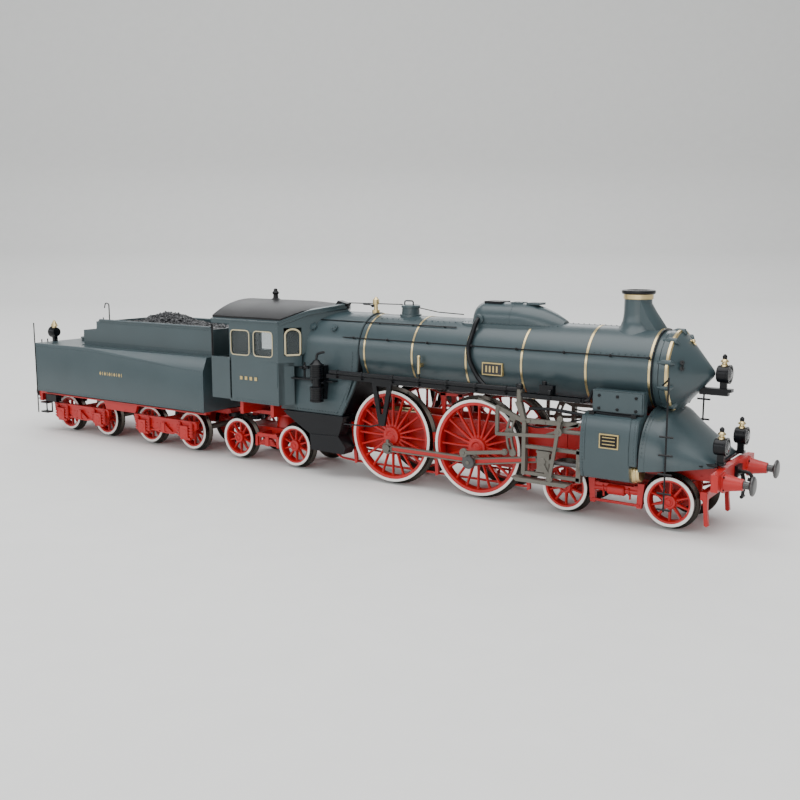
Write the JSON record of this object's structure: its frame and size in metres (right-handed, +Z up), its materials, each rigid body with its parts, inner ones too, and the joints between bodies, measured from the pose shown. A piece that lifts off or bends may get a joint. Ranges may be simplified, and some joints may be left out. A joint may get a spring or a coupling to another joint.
{
  "type": "model steam locomotive with tender",
  "caption": "Streamlined 4-4-4 model steam locomotive with conical smokebox door, wedge cab, outside rods and bogie tender, for 16.5 mm gauge track.",
  "frame": {"origin": "on the ground (underside of the wheel flanges), below the middle of the box of the whole train", "axes": "+X forward to the front buffers, +Y to the locomotive's left side, +Z up"},
  "size_m": [0.2496, 0.0338, 0.0547],
  "materials": {
    "body_paint": "satin blue-grey-green lacquer",
    "roof_paint": "matt dark grey",
    "black_fittings": "satin black",
    "red_paint": "satin vermilion red",
    "rod_metal": "dull blackened nickel",
    "brass": "polished",
    "coal": "broken coal",
    "circuit_board": "solder mask"
  },
  "bodies": {
    "engine": {"boiler": "body_paint", "smokebox_door": "body_paint", "chimney": "body_paint", "dome_casing": "body_paint", "firebox_casing": "body_paint", "cab_shell": "body_paint", "cylinder_left": "body_paint", "cylinder_right": "body_paint", "front_apron": "body_paint", "cab_roof": "roof_paint", "ashpan": "black_fittings", "air_pump": "black_fittings", "lamp_top": "black_fittings", "lamp_left": "black_fittings", "lamp_right": "black_fittings", "running_board_left": "black_fittings", "running_board_right": "black_fittings", "main_frame": "red_paint", "front_beam": "red_paint", "motor": "rod_metal", "motion_bracket_left": "rod_metal", "motion_bracket_right": "rod_metal", "whistle": "brass"},
    "driver_front": {"driver_front": "red_paint"},
    "driver_rear": {"driver_rear": "red_paint"},
    "worm_shaft": {"worm_shaft": "brass"},
    "side_rod_left": {"side_rod_left": "rod_metal"},
    "main_rod_left": {"main_rod_left": "rod_metal"},
    "eccentric_rod_left": {"eccentric_rod_left": "rod_metal"},
    "crosshead_left": {"crosshead_left": "rod_metal"},
    "expansion_link_left": {"expansion_link_left": "rod_metal"},
    "combination_lever_left": {"combination_lever_left": "rod_metal"},
    "front_buffer_left": {"front_buffer_left": "rod_metal"},
    "rear_buffer_left": {"rear_buffer_left": "rod_metal"},
    "side_rod_right": {"side_rod_right": "rod_metal"},
    "main_rod_right": {"main_rod_right": "rod_metal"},
    "eccentric_rod_right": {"eccentric_rod_right": "rod_metal"},
    "crosshead_right": {"crosshead_right": "rod_metal"},
    "expansion_link_right": {"expansion_link_right": "rod_metal"},
    "combination_lever_right": {"combination_lever_right": "rod_metal"},
    "front_buffer_right": {"front_buffer_right": "rod_metal"},
    "rear_buffer_right": {"rear_buffer_right": "rod_metal"},
    "leading_bogie": {"leading_bogie": "red_paint"},
    "leading_wheels_front": {"leading_wheels_front": "red_paint"},
    "leading_wheels_rear": {"leading_wheels_rear": "red_paint"},
    "trailing_bogie": {"trailing_bogie": "red_paint"},
    "trailing_wheels_front": {"trailing_wheels_front": "red_paint"},
    "trailing_wheels_rear": {"trailing_wheels_rear": "red_paint"},
    "drawbar": {"drawbar": "black_fittings"},
    "tender_bogie_front": {"tender_bogie_front": "red_paint"},
    "tender_bogie_rear": {"tender_bogie_rear": "red_paint"},
    "tender_wheels_1": {"tender_wheels_1": "red_paint"},
    "tender_wheels_2": {"tender_wheels_2": "red_paint"},
    "tender_wheels_3": {"tender_wheels_3": "red_paint"},
    "tender_wheels_4": {"tender_wheels_4": "red_paint"},
    "rear_coupler": {"rear_coupler": "black_fittings"},
    "tender": {"tender_frame": "red_paint", "tender_tank": "body_paint", "coal_load": "coal", "circuit_board": "circuit_board"}
  },
  "joints": [
    {"name": "drive_spin", "type": "hinge", "parent": "engine", "child": "driver_front", "pos_m": [0.05465, 0, 0.01345], "axis": [0, 1, 0], "continuous": true},
    {"name": "rear_driver_spin", "type": "hinge", "parent": "engine", "child": "driver_rear", "pos_m": [0.02765, 0, 0.01345], "axis": [0, 1, 0], "continuous": true},
    {"name": "worm_spin", "type": "hinge", "parent": "engine", "child": "worm_shaft", "pos_m": [0.02765, 0, 0.0186], "axis": [1, 0, 0], "continuous": true},
    {"name": "side_rod_pin_left", "type": "hinge", "parent": "driver_front", "child": "side_rod_left", "pos_m": [0.05765, 0.01195, 0.01345], "axis": [0, 1, 0], "continuous": true},
    {"name": "main_rod_pin_left", "type": "hinge", "parent": "driver_front", "child": "main_rod_left", "pos_m": [0.05765, 0.01195, 0.01345], "axis": [0, 1, 0], "continuous": true},
    {"name": "eccentric_rod_pin_left", "type": "hinge", "parent": "driver_front", "child": "eccentric_rod_left", "pos_m": [0.0551, 0.01195, 0.01265], "axis": [0, 1, 0], "continuous": true},
    {"name": "crosshead_slide_left", "type": "slide", "parent": "engine", "child": "crosshead_left", "axis": [1, 0, 0], "range_m": [-0.006, 0]},
    {"name": "expansion_link_swing_left", "type": "hinge", "parent": "engine", "child": "expansion_link_left", "pos_m": [0.06625, 0.014, 0.0193], "axis": [0, 1, 0], "range_deg": [-15, 15]},
    {"name": "combination_lever_swing_left", "type": "hinge", "parent": "engine", "child": "combination_lever_left", "pos_m": [0.08025, 0.0157, 0.0213], "axis": [0, 1, 0], "range_deg": [-0.3, 29.94]},
    {"name": "front_buffer_spring_left", "type": "slide", "parent": "engine", "child": "front_buffer_left", "axis": [1, 0, 0], "range_m": [-0.001, 0], "stiffness_N_per_m": 200},
    {"name": "rear_buffer_spring_left", "type": "slide", "parent": "tender", "child": "rear_buffer_left", "axis": [1, 0, 0], "range_m": [0, 0.001], "stiffness_N_per_m": 200},
    {"name": "side_rod_pin_right", "type": "hinge", "parent": "driver_front", "child": "side_rod_right", "pos_m": [0.05465, -0.01195, 0.01045], "axis": [0, 1, 0], "continuous": true},
    {"name": "main_rod_pin_right", "type": "hinge", "parent": "driver_front", "child": "main_rod_right", "pos_m": [0.05465, -0.01195, 0.01045], "axis": [0, 1, 0], "continuous": true},
    {"name": "eccentric_rod_pin_right", "type": "hinge", "parent": "driver_front", "child": "eccentric_rod_right", "pos_m": [0.05385, -0.01195, 0.013], "axis": [0, 1, 0], "continuous": true},
    {"name": "crosshead_slide_right", "type": "slide", "parent": "engine", "child": "crosshead_right", "axis": [1, 0, 0], "range_m": [-0.0027, 0.0032]},
    {"name": "expansion_link_swing_right", "type": "hinge", "parent": "engine", "child": "expansion_link_right", "pos_m": [0.06625, -0.014, 0.0193], "axis": [0, 1, 0], "range_deg": [-15, 15]},
    {"name": "combination_lever_swing_right", "type": "hinge", "parent": "engine", "child": "combination_lever_right", "pos_m": [0.08025, -0.0157, 0.0213], "axis": [0, 1, 0], "range_deg": [-16.11, 13.64]},
    {"name": "front_buffer_spring_right", "type": "slide", "parent": "engine", "child": "front_buffer_right", "axis": [1, 0, 0], "range_m": [-0.001, 0], "stiffness_N_per_m": 200},
    {"name": "rear_buffer_spring_right", "type": "slide", "parent": "tender", "child": "rear_buffer_right", "axis": [1, 0, 0], "range_m": [0, 0.001], "stiffness_N_per_m": 200},
    {"name": "leading_bogie_swivel", "type": "hinge", "parent": "engine", "child": "leading_bogie", "pos_m": [0.0926, 0, 0.0144], "axis": [0, 0, 1], "range_deg": [-4, 4]},
    {"name": "leading_wheels_front_spin", "type": "hinge", "parent": "leading_bogie", "child": "leading_wheels_front", "pos_m": [0.10565, 0, 0.00675], "axis": [0, 1, 0], "continuous": true},
    {"name": "leading_wheels_rear_spin", "type": "hinge", "parent": "leading_bogie", "child": "leading_wheels_rear", "pos_m": [0.07955, 0, 0.00675], "axis": [0, 1, 0], "continuous": true},
    {"name": "trailing_bogie_swivel", "type": "hinge", "parent": "engine", "child": "trailing_bogie", "pos_m": [-0.01795, 0, 0.0135], "axis": [0, 0, 1], "range_deg": [-4, 4]},
    {"name": "trailing_wheels_front_spin", "type": "hinge", "parent": "trailing_bogie", "child": "trailing_wheels_front", "pos_m": [-0.00685, 0, 0.00675], "axis": [0, 1, 0], "continuous": true},
    {"name": "trailing_wheels_rear_spin", "type": "hinge", "parent": "trailing_bogie", "child": "trailing_wheels_rear", "pos_m": [-0.02905, 0, 0.00675], "axis": [0, 1, 0], "continuous": true},
    {"name": "drawbar_swing", "type": "hinge", "parent": "engine", "child": "drawbar", "pos_m": [-0.03055, 0, 0.0118], "axis": [0, 0, 1], "range_deg": [-4, 4]},
    {"name": "tender_swing", "type": "hinge", "parent": "drawbar", "child": "tender", "pos_m": [-0.03895, 0, 0.0118], "axis": [0, 0, 1], "range_deg": [-4, 4]},
    {"name": "tender_bogie_front_swivel", "type": "hinge", "parent": "tender", "child": "tender_bogie_front", "pos_m": [-0.0588, 0, 0.0111], "axis": [0, 0, 1], "range_deg": [-6, 6]},
    {"name": "tender_bogie_rear_swivel", "type": "hinge", "parent": "tender", "child": "tender_bogie_rear", "pos_m": [-0.1001, 0, 0.0111], "axis": [0, 0, 1], "range_deg": [-6, 6]},
    {"name": "tender_wheels_1_spin", "type": "hinge", "parent": "tender_bogie_front", "child": "tender_wheels_1", "pos_m": [-0.0491, 0, 0.00675], "axis": [0, 1, 0], "continuous": true},
    {"name": "tender_wheels_2_spin", "type": "hinge", "parent": "tender_bogie_front", "child": "tender_wheels_2", "pos_m": [-0.0685, 0, 0.00675], "axis": [0, 1, 0], "continuous": true},
    {"name": "tender_wheels_3_spin", "type": "hinge", "parent": "tender_bogie_rear", "child": "tender_wheels_3", "pos_m": [-0.0904, 0, 0.00675], "axis": [0, 1, 0], "continuous": true},
    {"name": "tender_wheels_4_spin", "type": "hinge", "parent": "tender_bogie_rear", "child": "tender_wheels_4", "pos_m": [-0.1098, 0, 0.00675], "axis": [0, 1, 0], "continuous": true},
    {"name": "rear_coupler_swing", "type": "hinge", "parent": "tender", "child": "rear_coupler", "pos_m": [-0.11595, 0, 0.0098], "axis": [0, 0, 1], "range_deg": [-12, 12]}
  ],
  "couplings": [
    {"joint": "rear_driver_spin", "follows": "drive_spin", "ratio": 1},
    {"joint": "worm_spin", "follows": "drive_spin", "ratio": 20},
    {"joint": "side_rod_pin_left", "follows": "drive_spin", "ratio": -1},
    {"joint": "main_rod_pin_left", "follows": "drive_spin", "ratio": -1},
    {"joint": "eccentric_rod_pin_left", "follows": "drive_spin", "ratio": -1},
    {"joint": "combination_lever_swing_left", "follows": "crosshead_slide_left", "rad_per_m": -86.207},
    {"joint": "side_rod_pin_right", "follows": "drive_spin", "ratio": -1},
    {"joint": "main_rod_pin_right", "follows": "drive_spin", "ratio": -1},
    {"joint": "eccentric_rod_pin_right", "follows": "drive_spin", "ratio": -1},
    {"joint": "combination_lever_swing_right", "follows": "crosshead_slide_right", "rad_per_m": -86.207}
  ]
}
